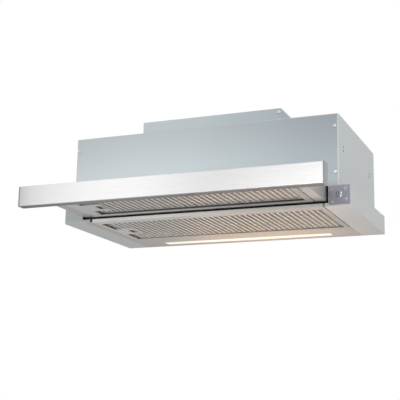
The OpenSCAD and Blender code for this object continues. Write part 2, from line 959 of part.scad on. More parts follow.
// Latch case: a flat box in the cassette's left rim, open towards the rim, with a finger window
module latch_case(p, size, rims, latch_y) {
    s = filter_sheet;
    w = latch_wall;
    h = size[2] - s;
    x1 = rims[0] + case_inset;
    window_x = x1 - w - slot_w - 2 * latch_travel;
    translate([p[0], p[1] + latch_y, p[2]]) difference() {
        translate([s, -case_w / 2, 0]) cube([x1 - s, case_w, h]);
        translate([s - over, -case_w / 2 + w, w])
            cube([x1 - s - w + over, case_w - 2 * w, h - 2 * w]);
        translate([window_x, -slot_d / 2 - w, -over])
            cube([slot_w + 2 * latch_travel - w, slot_d + 2 * w, w + 2 * over]);
    }
}

// Latch: a slider with a finger cup, a tongue that lies over the ledge, and two spring arms
module latch(p, size, rims, latch_y) {
    w = latch_wall;
    x1 = rims[0] + case_inset - w - latch_travel - fit;
    x0 = rims[0] - filter_sheet;
    z0 = latch_wall + slip;
    cup_x = x1 - slot_w - w - latch_travel / 2;
    height = size[2] - filter_sheet - 2 * z0;
    tongue_z = sheet + fit;
    arm_y = case_w / 2 - w - fit - spring_arm;
    translate([p[0], p[1] + latch_y, p[2]]) {
        difference() {
            translate([x0, -slider_d / 2, z0]) cube([x1 - x0, slider_d, height]);
            translate([cup_x, -slot_d / 2, z0 - over]) cube([slot_w, slot_d, height - w + over]);
        }
        translate([-latch_grip, -tongue_w / 2, tongue_z]) cube([x0 + latch_grip, tongue_w, tongue_t]);
        for (side = [-1, 1]) scale([1, side, 1]) {
            arm_l = arm_y - slider_d / 2 + over;
            translate([x0, slider_d / 2 - over, z0]) cube([spring_arm, arm_l, height]);
            translate([x0, arm_y, z0]) cube([spring_reach * 2, spring_arm, height]);
        }
    }
}

upper_p = [upper_x0, upper_y0, visor_z];
upper_size = [upper_w, upper_d, upper_t];

module upper_filter_frame() {
    color(aluminium) cassette_frame(upper_p, upper_size, upper_rims, upper_recess, upper_latch_y);
}

module upper_filter_mesh() {
    color(aluminium) cassette_mesh(upper_p, upper_size, upper_rims, upper_recess, upper_latch_y);
}

module upper_filter_pad() {
    color(aluminium) cassette_pad(upper_p, upper_size, upper_rims, upper_recess, upper_latch_y);
}

module upper_latch_case() {
    color(steel) latch_case(upper_p, upper_size, upper_rims, upper_latch_y);
}

module upper_latch() {
    color(grey_plastic) latch(upper_p, upper_size, upper_rims, upper_latch_y);
}

lower_p = [seam_x - lower_w, y_body, 0];
lower_size = [lower_w, lower_d, lower_t];

module lower_filter_frame() {
    color(aluminium) cassette_frame(lower_p, lower_size, lower_rims, lower_recess, lower_latch_y);
}

module lower_filter_mesh() {
    color(aluminium) cassette_mesh(lower_p, lower_size, lower_rims, lower_recess, lower_latch_y);
}

module lower_filter_pad() {
    color(aluminium) cassette_pad(lower_p, lower_size, lower_rims, lower_recess, lower_latch_y);
}

module lower_latch_case() {
    color(steel) latch_case(lower_p, lower_size, lower_rims, lower_latch_y);
}

module lower_latch() {
    color(grey_plastic) latch(lower_p, lower_size, lower_rims, lower_latch_y);
}

// Slides: outer rail on the frame's channel, inner rail on the visor, caged balls between
rail_mouth_x = channel_x - rail_w;
inner_half = rail_h / 2 - rail_sheet - ball_d - 2 * run_gap;
inner_x = rail_mouth_x - rail_sheet - fit;
inner_reach = channel_x - rail_sheet - cage_t - 2 * fit;
rail_y0 = y_body + rail_front;
ball_x = rail_mouth_x + rail_lip + ball_d / 4;

module outer_rail() {
    h = rail_h / 2;
    s = rail_sheet;
    lip_h = h - rail_lip;
    color(bright_steel) along_y(rail_y0, body_d - rail_front - rail_back) difference() {
        translate([rail_mouth_x, rail_z - h]) square([channel_x - rail_mouth_x, rail_h]);
        translate([rail_mouth_x + s, rail_z - h + s])
            square([channel_x - rail_mouth_x - 2 * s, rail_h - 2 * s]);
        translate([rail_mouth_x - over, rail_z - lip_h]) square([s + 2 * over, 2 * lip_h]);
    }
}

module inner_rail() {
    s = rail_sheet;
    h = inner_half;
    color(bright_steel) {
        along_y(rail_y0 + slip, rail_l) difference() {
            translate([inner_x, rail_z - h]) square([inner_reach - inner_x, 2 * h]);
            translate([inner_x + s, rail_z - h + s]) square([inner_reach - inner_x, 2 * h - 2 * s]);
        }
        for (y = [boss_inset, rail_l - boss_inset])
            rod_x([visor_half, rail_y0 + slip + y, rail_z], boss_d, inner_x - visor_half + s / 2);
    }
}

module ball_cage() {
    ball_z = rail_h / 2 - rail_sheet - ball_d / 2 - run_gap;
    x0 = rail_mouth_x + rail_sheet + fit;
    x1 = channel_x - rail_sheet - fit;
    y0 = rail_y0 + cage_lead;
    arm = ball_z + cage_t / 2;
    first = y0 + (cage_l - (row_balls - 1) * ball_pitch) / 2;
    color(bright_steel) difference() {
        along_y(y0, cage_l) difference() {
            translate([x0, rail_z - arm]) square([x1 - x0, 2 * arm]);
            translate([x0 - over, rail_z - arm + cage_t])
                square([x1 - x0 - cage_t + over, 2 * arm - 2 * cage_t]);
        }
        for (k = [0 : row_balls - 1])
            rod_z([ball_x, first + k * ball_pitch, rail_z - rail_h], ball_d + 2 * run_gap, 2 * rail_h);
    }
    color("silver") for (k = [0 : row_balls - 1], side = [-1, 1])
        translate([ball_x, first + k * ball_pitch, rail_z + side * ball_z])
            sphere(d = ball_d, $fn = 24);
}

module outer_rail_left() {
    mirror([1, 0, 0]) outer_rail();
}

module outer_rail_right() {
    outer_rail();
}

module inner_rail_left() {
    mirror([1, 0, 0]) inner_rail();
}

module inner_rail_right() {
    inner_rail();
}

module ball_cage_left() {
    mirror([1, 0, 0]) ball_cage();
}

module ball_cage_right() {
    ball_cage();
}

// Reed sensor on the back wall and the magnet on the visor that switches the hood on
module visor_sensor() {
    y1 = y_back - sheet;
    color(dark_plastic)
        block([-sensor_x - sensor[0] / 2, y1 - sensor[1], sensor_z],
              [-sensor_x + sensor[0] / 2, y1, sensor_z + sensor[2]]);
}

module visor_magnet() {
    x0 = -visor_half + sheet;
    color(dark_plastic)
        block([x0, visor_back - magnet[1], sensor_z], [x0 + magnet[0], visor_back, sensor_z + magnet[2]]);
}

// Fasteners
module front_screws() {
    color(bright_steel) both_sides() for (z = [front_screw_low, front_screw_high])
        translate([half_box - front_screw_x, y_body, z]) rotate([90, 0, 0]) screw_head();
}

module cover_screws() {
    color(bright_steel) {
        translate([half_cover - cover_screw_x, cover_y0, body_h + cover_screw_z])
            rotate([90, 0, 0]) screw_head();
        both_sides() for (y = [cover_y0, cover_y1])
            translate([half_cover + cover_lip / 2, y, body_h + sheet]) screw_head();
    }
}

module ledge_screws() {
    color(dark_plastic) both_sides() for (y = [y_body + ledge_screw_y, y_back - 3 * ledge_screw_y])
        translate([half_box + ledge_screw_x, y, base_h]) screw_head();
}

module collar_screws() {
    color(bright_steel) for (x = [-collar_screw, collar_screw], y = [-collar_screw, collar_screw])
        translate([x, outlet_y + y, top_z + collar_flange_t]) screw_head();
}

module side_rivets() {
    color(bright_steel) both_sides() for (y = [0, fix_pitch_y])
        rod_x([half_box, y_body + fix_front + y, fix_z], rivet_d, rivet_h);
}

base_frame();
front_panel();
side_panel_left();
side_panel_right();
rear_panel();
top_panel();
raised_cover();
bottom_pan();
outlet_collar();
flap_front();
flap_rear();
scroll_left();
scroll_right();
impeller();
motor_shaft();
motor();
motor_bracket();
control_box();
control_lid();
control_board();
capacitor();
cable_gland();
led_diffuser();
led_board();
led_housing();
touch_glass();
touch_case();
touch_board();
display();
front_strip();
strip_cap_left();
strip_cap_right();
visor_frame();
visor_top();
upper_filter_frame();
upper_filter_mesh();
upper_filter_pad();
upper_latch_case();
upper_latch();
lower_filter_frame();
lower_filter_mesh();
lower_filter_pad();
lower_latch_case();
lower_latch();
outer_rail_left();
outer_rail_right();
ball_cage_left();
ball_cage_right();
inner_rail_left();
inner_rail_right();
visor_sensor();
visor_magnet();
front_screws();
cover_screws();
ledge_screws();
collar_screws();
side_rivets();
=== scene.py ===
"""Looks of the pull out range hood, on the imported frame.

Sizes and places on the object are in mm and become metres times MM. Those of the stage are in metres.
"""

import json
import math

import bmesh
import bpy
from mathutils import Matrix, Vector


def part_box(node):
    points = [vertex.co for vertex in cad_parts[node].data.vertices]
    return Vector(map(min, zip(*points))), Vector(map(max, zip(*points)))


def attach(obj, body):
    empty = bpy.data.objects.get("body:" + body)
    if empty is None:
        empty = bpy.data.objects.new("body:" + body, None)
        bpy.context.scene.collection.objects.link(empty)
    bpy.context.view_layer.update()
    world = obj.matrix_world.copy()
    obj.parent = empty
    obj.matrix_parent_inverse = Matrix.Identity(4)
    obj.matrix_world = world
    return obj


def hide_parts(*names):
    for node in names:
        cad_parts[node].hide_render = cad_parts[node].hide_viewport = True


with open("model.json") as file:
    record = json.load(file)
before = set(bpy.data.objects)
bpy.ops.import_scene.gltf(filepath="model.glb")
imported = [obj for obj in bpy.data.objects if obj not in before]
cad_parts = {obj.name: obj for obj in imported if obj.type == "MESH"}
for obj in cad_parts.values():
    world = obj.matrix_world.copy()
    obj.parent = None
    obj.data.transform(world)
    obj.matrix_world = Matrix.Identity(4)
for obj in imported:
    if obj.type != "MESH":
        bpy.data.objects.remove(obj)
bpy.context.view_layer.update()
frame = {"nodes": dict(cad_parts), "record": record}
NODES = frame["nodes"]
MM = 0.001


# Places on the object

# Half widths of the lower frame and the housing
FRAME_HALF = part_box("base_frame")[1].x / MM
HOUSING_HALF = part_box("side_panel_right")[1].x / MM
# Heights over which painted shade darkens the front, and the width where painted hob light warms the
# underside
RISE_START = 60.0
RISE_END = 180.0
HOB_LIGHT_START = 200.0
HOB_LIGHT_END = 258.0
# How far from the middle the painted light and shade of meshes and foils run
MESH_REACH = 240.0
FOIL_REACH = 250.0
# Cassettes' frames: wall, right fold and hem in painted shade, and the way from the hem to the back edge's
# painted highlight
EDGE_WALL = 1.0
FOLD_WIDTH = 4.0
HEM_HALF = 0.4
BACK_START = 4.0
BACK_END = 10.0
# How far the foil's painted black shadow reaches under the mesh, and how softly it ends
GAP_INSET = 2.0
GAP_SOFT = 0.5
# The latch's finger cup above its case's face, and how softly its painted shade sets in
CUP_RISE = 0.8
CUP_SOFT = 0.4
# What the foil keeps from the pad's faces
PAD_SKIN = 0.3


class Cassette:
    """A filter cassette: its body, and the places that follow from the boxes of its nodes.

    rim_left and rim_back are the widths of its frame at the left and at the back. gap_left and gap_back are
    what the mesh keeps from the frame there, and gap_case is what mesh and foil keep in front of the latch
    case. A window and the notch are (left, right, front, back).
    """

    def __init__(self, side, body, rim_left, rim_back, gap_left, gap_back, gap_case):
        low, high = (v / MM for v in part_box(side + "_filter_frame"))
        mesh_low, mesh_high = (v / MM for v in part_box(side + "_filter_mesh"))
        pad_low, pad_high = (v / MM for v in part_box(side + "_filter_pad"))
        case_low, case_high = (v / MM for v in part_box(side + "_latch_case"))
        left = low.x + rim_left
        right = mesh_high.x - EDGE_WALL
        self.side = side
        self.body = body
        self.edge_x = mesh_high.x + EDGE_WALL
        self.hem_y = high.y - rim_back
        self.mesh_window = (left + gap_left, right, mesh_low.y, self.hem_y - gap_back)
        self.foil_window = (left, right, mesh_low.y, self.hem_y)
        self.mesh_z = (mesh_low.z + mesh_high.z) / 2
        self.foil_z = (pad_low.z + PAD_SKIN, pad_high.z - PAD_SKIN)
        self.notch = (case_low.x, case_high.x, case_low.y - gap_case, case_high.y)
        self.cup_z = case_low.z + CUP_RISE


LOWER = Cassette("lower", "lower_filter", rim_left=7.0, rim_back=3.0,
                 gap_left=8.0, gap_back=1.0, gap_case=0.0)
UPPER = Cassette("upper", "visor", rim_left=25.0, rim_back=18.0,
                 gap_left=7.0, gap_back=2.0, gap_case=5.0)


# Node trees

# The range in which most values of a noise lie
NOISE_LOW = 0.3
NOISE_HIGH = 0.7
# How far a normal leans to an axis where a face begins to count as facing it, and where it fully does
FACING_START = 0.3
FACING_END = 0.9


class Look:
    """A procedural material: a Principled shader and the nodes that feed it."""

    def __init__(self, name, colour, roughness, metallic=0.0, **sockets):
        self.material = bpy.data.materials.new(name)
        self.material.use_nodes = True
        self.tree = self.material.node_tree
        self.shader = self.tree.nodes["Principled BSDF"]
        self.coordinates = self.add("ShaderNodeTexCoord").outputs
        self.colour = colour
        self.roughness = roughness
        self.set("Base Color", (*colour, 1))
        self.set("Roughness", roughness)
        self.set("Metallic", metallic)
        for key, value in sockets.items():
            self.set(key.replace("_", " "), value)

    def set(self, socket, value):
        self.shader.inputs[socket].default_value = value

    def add(self, kind, **settings):
        node = self.tree.nodes.new(kind)
        for key, value in settings.items():
            setattr(node, key, value)
        return node

    def join(self, source, node, socket):
        self.tree.links.new(source, node.inputs[socket])

    def noise(self, size, detail, rough=0.5, offset=0.0):
        """Noise whose grains measure size in mm, a number or (x, y, z)."""
        grains = size if isinstance(size, tuple) else (size, size, size)
        mapping = self.add("ShaderNodeMapping")
        self.join(self.coordinates["Object"], mapping, "Vector")
        mapping.inputs["Scale"].default_value = [1 / (MM * grain) for grain in grains]
        mapping.inputs["Location"].default_value = (offset, offset, offset)
        node = self.add("ShaderNodeTexNoise")
        node.inputs["Scale"].default_value = 1.0
        node.inputs["Detail"].default_value = detail
        node.inputs["Roughness"].default_value = rough
        self.join(mapping.outputs["Vector"], node, "Vector")
        return node.outputs["Fac"]

    def spread(self, noise, low, high):
        """Maps the usual range of a noise to low..high."""
        node = self.add("ShaderNodeMapRange")
        node.inputs["From Min"].default_value = NOISE_LOW
        node.inputs["From Max"].default_value = NOISE_HIGH
        node.inputs["To Min"].default_value = low
        node.inputs["To Max"].default_value = high
        self.join(noise, node, "Value")
        return node.outputs["Result"]

    def ramp(self, value, stops):
        """Maps a value to brightness by stops of (share, brightness), a number or a colour."""
        node = self.add("ShaderNodeValToRGB")
        node.color_ramp.interpolation = "B_SPLINE"
        points = node.color_ramp.elements
        while len(points) < len(stops):
            points.new(0.5)
        levels = [level if isinstance(level, tuple) else (level, level, level) for _, level in stops]
        top = max(max(level) for level in levels)
        for point, (share, _), level in zip(points, stops, levels):
            point.position = share
            point.color = (*(channel / top for channel in level), 1)
        self.join(value, node, "Fac")
        scale = self.add("ShaderNodeVectorMath", operation="SCALE")
        self.join(node.outputs["Color"], scale, 0)
        scale.inputs["Scale"].default_value = top
        return scale.outputs["Vector"]

    def along(self, axis, start, end, source="Object"):
        """How far a point, or its normal, lies from start to end along an axis, as a share."""
        split = self.add("ShaderNodeSeparateXYZ")
        self.join(self.coordinates[source], split, "Vector")
        node = self.add("ShaderNodeMapRange")
        unit = MM if source == "Object" else 1
        node.inputs["From Min"].default_value = start * unit
        node.inputs["From Max"].default_value = end * unit
        self.join(split.outputs["XYZ".index(axis)], node, "Value")
        return node.outputs["Result"]

    def times(self, *factors):
        """The product of two factors, each a socket or a colour."""
        node = self.add("ShaderNodeVectorMath", operation="MULTIPLY")
        for i, factor in enumerate(factors):
            if isinstance(factor, tuple):
                node.inputs[i].default_value = factor
            else:
                self.join(factor, node, i)
        return node.outputs["Vector"]

    def shade(self, factor):
        """Multiplies the base colour by a factor."""
        links = self.shader.inputs["Base Color"].links
        base = links[0].from_socket if links else self.colour
        self.join(self.times(base, factor), self.shader, "Base Color")

    def tint(self, noise, amount):
        """Makes the base colour lighter and darker by a share."""
        self.shade(self.spread(noise, 1 - amount, 1 + amount))

    def fade(self, axis, start, end, stops):
        """Shades the base colour by stops laid out from start to end along an axis."""
        self.shade(self.ramp(self.along(axis, start, end), stops))

    def facing(self, axis, sign, level):
        """A factor that goes from 1 to level where a face turns towards the given side of an axis, for
        painted light and shade by the way a face turns.
        """
        turned = self.along(axis, sign * FACING_START, sign * FACING_END, "Normal")
        return self.ramp(turned, [(0.0, 1.0), (1.0, level)])

    def gloss(self, noise, amount):
        """Varies the roughness by amount both ways."""
        varied = self.spread(noise, self.roughness - amount, self.roughness + amount)
        self.join(varied, self.shader, "Roughness")

    def relief(self, noise, depth):
        """Bump of a depth in mm."""
        node = self.add("ShaderNodeBump")
        node.inputs["Distance"].default_value = depth * MM
        node.inputs["Strength"].default_value = 1.0
        self.join(noise, node, "Height")
        self.join(node.outputs["Normal"], self.shader, "Normal")


# Kinds of surface, each with the sizes of its grains in mm and what they vary

FLAKE = 0.5
FLAKE_SHARE = 0.025
PEEL = 2.6
PEEL_GLOSS = 0.03
PEEL_DEPTH = 0.006
CLOUD = 120.0
CLOUD_SHARE = 0.012


def satin(name, colour, roughness=0.42, metallic=0.25, cloud_share=0.0):
    """Satin paint on sheet: fine flake, faint orange peel and, where it has a share, a slow cloudiness."""
    look = Look(name, colour, roughness, metallic)
    look.tint(look.noise(FLAKE, 2), FLAKE_SHARE)
    if cloud_share:
        look.tint(look.noise(CLOUD, 2, offset=3.1), cloud_share)
    peel = look.noise(PEEL, 2)
    look.gloss(peel, PEEL_GLOSS)
    look.relief(peel, PEEL_DEPTH)
    return look


HAIR = 0.35
HAIR_LENGTH = 60.0
BAND = 3.0
BAND_LENGTH = 160.0


def brushed(name, colour, roughness, axis, metallic=1.0, streak=0.05, gloss=0.07, depth=0.004):
    """Brushed metal: hair lines that run along one axis, over a slow unevenness."""
    look = Look(name, colour, roughness, metallic)
    hair_size = tuple(HAIR_LENGTH if way == axis else HAIR for way in "xyz")
    band_size = tuple(BAND_LENGTH if way == axis else BAND for way in "xyz")
    hair = look.noise(hair_size, 4, 0.6)
    look.tint(hair, streak)
    look.tint(look.noise(band_size, 2, offset=1.7), streak / 2)
    look.gloss(hair, gloss)
    look.relief(hair, depth)
    return look


PIT_SHARE = 0.04
PIT_GLOSS = 0.06
HAZE = 40.0
HAZE_SHARE = 0.02


def moulded(name, colour, roughness, grain=0.7, depth=0.02, haze_share=HAZE_SHARE, **sockets):
    """Moulded plastic with a fine eroded grain and, where it has a share, a slow haze."""
    look = Look(name, colour, roughness, **sockets)
    pits = look.noise(grain, 3, 0.6)
    look.tint(pits, PIT_SHARE)
    if haze_share:
        look.tint(look.noise(HAZE, 2, offset=5.2), haze_share)
    look.gloss(pits, PIT_GLOSS)
    look.relief(pits, depth)
    return look


SPANGLE = 9.0
SPANGLE_SHARE = 0.06
SPANGLE_GLOSS = 0.08
ROLLED = 0.8
ROLLED_SHARE = 0.03
ROLLED_DEPTH = 0.006


def plated(name, colour, roughness=0.32, metallic=1.0):
    """Zinc plated or bare metal: cloudy, with faint rolling marks."""
    look = Look(name, colour, roughness, metallic)
    cloud = look.noise(SPANGLE, 4, 0.6)
    fine = look.noise(ROLLED, 2, offset=2.3)
    look.tint(cloud, SPANGLE_SHARE)
    look.tint(fine, ROLLED_SHARE)
    look.gloss(cloud, SPANGLE_GLOSS)
    look.relief(fine, ROLLED_DEPTH)
    return look


GLOW_GRAIN = 14.0
GLOW_SHARE = 0.02
GLOW_UNEVEN = 0.03


def glowing(name, colour, glow, strength):
    """Something that gives light, with a slightly uneven brightness."""
    look = Look(name, colour, 0.4)
    cloud = look.noise(GLOW_GRAIN, 2)
    look.set("Emission Strength", strength)
    uneven = look.spread(cloud, 1 - GLOW_UNEVEN, 1 + GLOW_UNEVEN)
    look.join(look.times(glow, uneven), look.shader, "Emission Color")
    look.tint(cloud, GLOW_SHARE)
    return look


# Tones of single pieces, most of them painted light and shade, as stops of (share of the way, brightness) or
# as one share

# Painted sheen and shade on the housing's front: lighter at the left, darker and bluer at the right, darker
# at the top
PAINTED_SHEEN_SHARES = [(0.0, 1.12), (0.2, 1.25), (0.45, 1.17), (0.6, (1.03, 1.04, 1.05)),
                (0.75, (0.91, 0.93, 0.96)), (0.88, (0.76, 0.78, 0.82)), (1.0, (0.67, 0.69, 0.73))]
RISE_SHADE_SHARES = [(0.0, 1.08), (0.3, 1.08), (0.55, 1.0), (1.0, 0.84)]
PAINT_COLOUR = (0.50, 0.53, 0.535)
# Painted warm hob light on the lower frame's right underside, and painted shade on its right wall
FRAME_LIGHT_LEVEL = (1.02, 1.02, 1.01)
UNDER_HOB_LIGHT = (1.13, 1.06, 1.05)
WALL_SHADE = (0.86, 0.89, 0.905)
# Painted reflection along the strip, and painted shade on its underside, which also dims its reflection
# there
PAINTED_REFLECTION_SHARES = [(0.0, 0.60), (0.04, 0.82), (0.12, 0.93), (0.24, 1.05), (0.42, 1.05), (0.54, 0.89),
                 (0.66, 0.75), (0.74, 0.75), (0.84, 0.75), (0.92, 0.73)]
UNDERSIDE_SHADE = 0.45
# Painted shade in the latch's finger cup
CUP_SHADE = 0.02
# Painted light and shade on the cassettes' frames: shade towards the right, shadow at the right fold, light
# on their fronts
RIM_SHADE_SHARES = [(0.0, 1.0), (0.4, 0.96), (0.7, 0.75), (1.0, 0.62)]
FOLD_SHADOW_SHARES = [(0.0, 1.0), (0.3, 1.0), (0.7, 0.15), (1.0, 0.15)]
FRONT_LIGHT_SHARE = 2.0
HEM_SHADE_PLACES = [(0.0, False), (0.1, False), (0.3, True), (0.5, True), (0.7, True), (0.9, False), (1.0, False)]
# Painted light and shade on the foils, and painted shadow where the gap shows them
FOIL_LIGHT_SHARES = {"lower": [(0.0, 0.14), (0.35, 0.33), (0.65, 0.87), (1.0, 1.2)],
               "upper": [(0.0, 0.36), (0.35, 0.74), (0.65, 1.35), (1.0, 1.8)]}
GAP_SHADOW_SHARES = [(0.0, 0.03), (1.0, 1.0)]
LENS_SHARES = [(0.0, 0.3), (0.22, 0.6), (0.4, 1.0), (0.6, 1.0), (0.78, 0.6), (1.0, 0.3)]
LENS_END_SHARES = [(0.0, 0.2), (0.014, 1.0), (0.986, 1.0), (1.0, 0.2)]
LENS_GLOW = (1.0, 0.92, 0.79)
LENS_STRENGTH = 0.92


def painted(name, colour, roughness=0.42, metallic=0.25):
    """Plain satin paint, a little cloudy."""
    return satin(name, colour, roughness, metallic, CLOUD_SHARE)


def front_paint(name, colour):
    """The housing's paint, with a painted sheen that fades towards the right and painted shade towards the
    top of the front.
    """
    look = satin(name, colour)
    look.fade("X", -HOUSING_HALF, HOUSING_HALF, PAINTED_SHEEN_SHARES)
    look.fade("Z", RISE_START, RISE_END, RISE_SHADE_SHARES)
    return look


def frame_paint():
    """The lower frame's paint, with painted warm hob light on its right underside and painted shade on its
    right wall.
    """
    look = satin("frame_paint", PAINT_COLOUR)
    look.fade("X", HOB_LIGHT_START, HOB_LIGHT_END, [(0.0, FRAME_LIGHT_LEVEL), (1.0, UNDER_HOB_LIGHT)])
    look.shade(look.facing("X", 1, WALL_SHADE))
    return look


def strip_steel():
    """Brushed steel of the front strip, with a painted reflection that changes along it and painted shade
    that dulls its folded underside.
    """
    look = brushed("strip_brushed_steel", (0.93, 0.92, 0.92), 0.3, "x",
                   streak=0.02, gloss=0.05, depth=0.0022)
    look.fade("X", -FRAME_HALF, FRAME_HALF, PAINTED_REFLECTION_SHARES)
    under = look.facing("Z", -1, UNDERSIDE_SHADE)
    look.shade(under)
    look.join(under, look.shader, "Specular Tint")
    return look


def latch_plastic(cassette):
    """Grey slider with painted shade in its finger cup."""
    look = moulded(cassette.side + "_latch_plastic", (0.92, 0.92, 0.90), 0.4, haze_share=0.0)
    look.fade("Z", cassette.cup_z, cassette.cup_z + CUP_SOFT, [(0.0, 1.0), (1.0, CUP_SHADE)])
    return look


def cassette_metal(cassette, name, colour, hem_shade, back_highlight):
    """Brushed aluminium of a cassette's frame.

    It has painted light on its front and on its back edge, painted shade towards the right, and painted
    shadow where its right edge folds up and on the hem behind the mesh.
    """
    look = brushed(name, colour, 0.38, "x", metallic=0.2, streak=0.04)
    edge, hem = cassette.edge_x, cassette.hem_y
    look.fade("X", -edge, edge, RIM_SHADE_SHARES)
    look.fade("X", edge - FOLD_WIDTH, edge, FOLD_SHADOW_SHARES)
    look.shade(look.facing("Y", -1, FRONT_LIGHT_SHARE))
    look.fade("Y", hem - HEM_HALF, hem + HEM_HALF,
              [(share, hem_shade if inside else 1.0) for share, inside in HEM_SHADE_PLACES])
    look.fade("Y", hem + BACK_START, hem + BACK_END, [(0.0, 1.0), (1.0, back_highlight)])
    return look


def mesh_metal(name, colour, shares):
    """Expanded aluminium with painted light that changes from left to right."""
    look = plated(name, colour, 0.35, 0.5)
    look.fade("X", -MESH_REACH, MESH_REACH, shares)
    return look


def foil_metal(cassette):
    """Thin aluminium foil with painted shade at the left, where no light from the bar falls through the
    slots.

    Outside the mesh's left and back edges, where a gap shows it, it is black with painted shadow.
    """
    look = Look(cassette.side + "_foil_aluminium", (0.72, 0.645, 0.56), 0.45, 0.3)
    left = cassette.mesh_window[0] + GAP_INSET
    back = cassette.mesh_window[3] - GAP_INSET
    cloud = look.noise(SPANGLE, 4, 0.6)
    look.tint(cloud, SPANGLE_SHARE)
    look.fade("X", -FOIL_REACH, FOIL_REACH, FOIL_LIGHT_SHARES[cassette.side])
    look.fade("X", left - GAP_SOFT, left + GAP_SOFT, GAP_SHADOW_SHARES)
    look.fade("Y", back + GAP_SOFT, back - GAP_SOFT, GAP_SHADOW_SHARES)
    look.gloss(cloud, SPANGLE_GLOSS)
    return look


def light_lens():
    """Diffuser of the light bar: brightest along its middle."""
    look = Look("led_lens", (0.32, 0.29, 0.25), 0.4)
    low, high = (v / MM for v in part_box("led_diffuser"))
    across = look.ramp(look.along("Y", low.y, high.y), LENS_SHARES)
    ends = look.ramp(look.along("X", low.x, high.x), LENS_END_SHARES)
    glow = look.times(look.times(across, ends), LENS_GLOW)
    look.join(glow, look.shader, "Emission Color")
    look.set("Emission Strength", LENS_STRENGTH)
    look.tint(look.noise(GLOW_GRAIN, 2), GLOW_SHARE)
    return look


# Materials of the CAD nodes, by their slot or, for single nodes, by name

PAINT = painted("grey_paint", PAINT_COLOUR)
LATCH_CASE = brushed("latch_case_steel", (0.56, 0.56, 0.55), 0.38, "x", 0.3, 0.04)
SLOT_LOOKS = {
    "grey_panel": PAINT,
    "strip_steel": strip_steel(),
    "cap_grey": moulded("cap_grey_plastic", (0.28, 0.277, 0.275), 0.38),
    "filter_aluminium": cassette_metal(LOWER, "cassette_aluminium", (0.52, 0.515, 0.505), 0.3, 1.0),
    "bare_steel": plated("zinc_plated_steel", (0.62, 0.62, 0.61)),
    "dark_plastic": moulded("dark_plastic", (0.035, 0.036, 0.04), 0.45),
    "light_plastic": moulded("light_plastic", (0.40, 0.41, 0.40), 0.42),
    "motor_steel": painted("motor_paint", (0.22, 0.23, 0.25), 0.4, 0.4),
    "circuit_board": moulded("board_green", (0.02, 0.09, 0.045), 0.35, 0.4, 0.008),
    "capacitor_can": brushed("capacitor_can", (0.72, 0.72, 0.73), 0.28, "z"),
    "panel_glass": moulded("panel_glass", (0.29, 0.30, 0.345), 0.12, 6, 0.002,
                           Coat_Weight=0.4, Coat_Roughness=0.04),
    "display_black": moulded("display_black", (0.012, 0.012, 0.013), 0.15, 3, 0.002, Coat_Weight=0.5),
    "led_lens": light_lens(),
    "board_white": moulded("board_white", (0.75, 0.75, 0.73), 0.35, 0.4, 0.008),
}
NODE_LOOKS = {
    # The front and the raised cover get lit copies of the housing's grey paint: bluer, and lighter on the
    # cover
    "front_panel": front_paint("front_paint", (0.484, 0.530, 0.545)),
    "raised_cover": front_paint("cover_paint", (0.505, 0.565, 0.585)),
    "base_frame": frame_paint(),
    "visor_frame": painted("visor_steel", (0.46, 0.46, 0.455), 0.38, 0.4),
    "bottom_pan": painted("pan_paint", (0.44, 0.427, 0.405), 0.4),
    # The upper cassette's frame gets a darker copy of the cassettes' aluminium, as painted shade
    "upper_filter_frame": cassette_metal(UPPER, "shaded_upper_cassette_aluminium", (0.41, 0.408, 0.405), 0.12, 2.0),
    "upper_latch": latch_plastic(UPPER),
    "lower_latch": latch_plastic(LOWER),
    "upper_latch_case": LATCH_CASE,
    "lower_latch_case": LATCH_CASE,
    "motor_shaft": brushed("turned_shaft", (0.7, 0.7, 0.69), 0.25, "x"),
}
# Painted light and shade on the meshes: lighter at the left, darker at the right
MESH_LOOKS = {
    "lower": mesh_metal("mesh_aluminium", (0.84, 0.81, 0.77), [(0.0, 1.20), (0.5, 0.97), (1.0, 0.83)]),
    "upper": mesh_metal("upper_mesh_aluminium", (0.84, 0.815, 0.79),
                        [(0.0, 1.16), (0.5, 0.98), (1.0, 0.74)]),
}


def dress():
    """Gives every CAD node its material."""
    for part in frame["record"]["subparts"]:
        name = part["node"]
        look = NODE_LOOKS.get(name, SLOT_LOOKS[part["material_slot"]])
        slots = NODES[name].data.materials
        if not slots:
            slots.append(look.material)
        for i in range(len(slots)):
            slots[i] = look.material


# Pieces

def meshed(name, build):
    """Ends a bmesh as a mesh."""
    bmesh.ops.recalc_face_normals(build, faces=build.faces)
    mesh = bpy.data.meshes.new(name)
    build.to_mesh(mesh)
    build.free()
    return mesh


def piece(name, mesh, look, body):
    """A visible piece that rides a body."""
    mesh.materials.append(look.material)
    shape = bpy.data.objects.new(name, mesh)
    bpy.context.scene.collection.objects.link(shape)
    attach(shape, body)
    return shape


def thicken(shape, thickness):
    """Gives a sheet its wall, in mm."""
    wall = shape.modifiers.new("thickness", "SOLIDIFY")
    wall.thickness = thickness * MM
    wall.offset = 0.0


# Meshes and foils of the cassettes: the slots' pitch and size, the folds' pitch, and walls

PITCH_X = 11.1
PITCH_Y = 4.6
SLOT_LENGTH = 9.2
SLOT_HALF = 1.25
STRAND_TURN = 0.42
# Stations along a slot: (share of its length from its middle, share of its full opening)
SLOT_SHARES = [(-0.5, 0.0), (-0.4, 0.85), (0.0, 1.0), (0.4, 0.85), (0.5, 0.0)]
SHEET_WALL = 0.3
WELD = 0.02
FOLD_X = 22.2
FOLD_Y = 20.0
FOIL_WALL = 0.15


def in_notch(point, notch):
    return notch[0] < point.x < notch[1] and notch[2] < point.y < notch[3]


